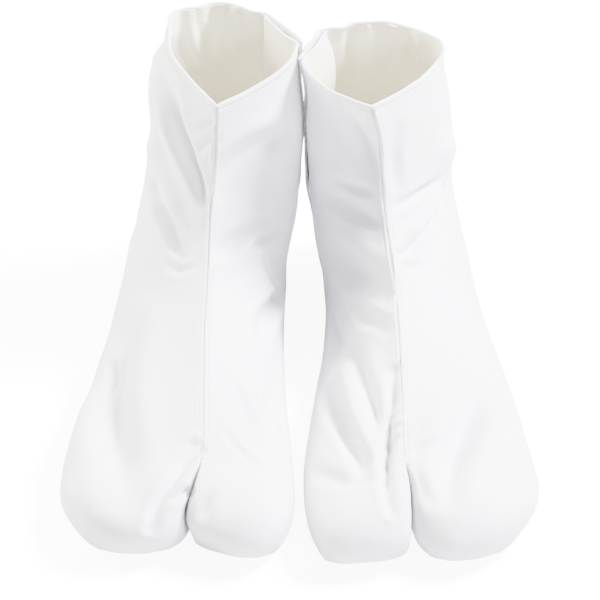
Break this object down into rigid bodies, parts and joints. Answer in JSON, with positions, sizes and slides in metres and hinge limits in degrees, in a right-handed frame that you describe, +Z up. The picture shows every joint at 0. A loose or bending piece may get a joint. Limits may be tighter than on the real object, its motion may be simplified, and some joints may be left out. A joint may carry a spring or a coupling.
{
  "type": "pair of tabi socks",
  "caption": "Pair of ankle-high split-toe cloth socks with a front seam, a side closure at the inner ankle and a flat sole, standing filled out.",
  "frame": {"origin": "bottom centre of the pair's bounding box, on the floor under both soles", "axes": "+Z up, toes towards -Y, wearer's right sock on -X"},
  "size_m": [0.217, 0.2576, 0.146],
  "materials": {
    "white_cotton": "smooth plain weave",
    "sole_cotton": "matt heavy weave",
    "clasp_brass": "polished"
  },
  "bodies": {
    "root": {"right_outer_panel": "white_cotton", "right_inner_panel": "white_cotton", "right_sole": "sole_cotton", "right_clasp_1": "clasp_brass", "right_clasp_2": "clasp_brass", "right_clasp_3": "clasp_brass", "right_clasp_4": "clasp_brass", "right_clasp_5": "clasp_brass", "left_outer_panel": "white_cotton", "left_inner_panel": "white_cotton", "left_sole": "sole_cotton", "left_clasp_1": "clasp_brass", "left_clasp_2": "clasp_brass", "left_clasp_3": "clasp_brass", "left_clasp_4": "clasp_brass", "left_clasp_5": "clasp_brass"}
  },
  "joints": []
}
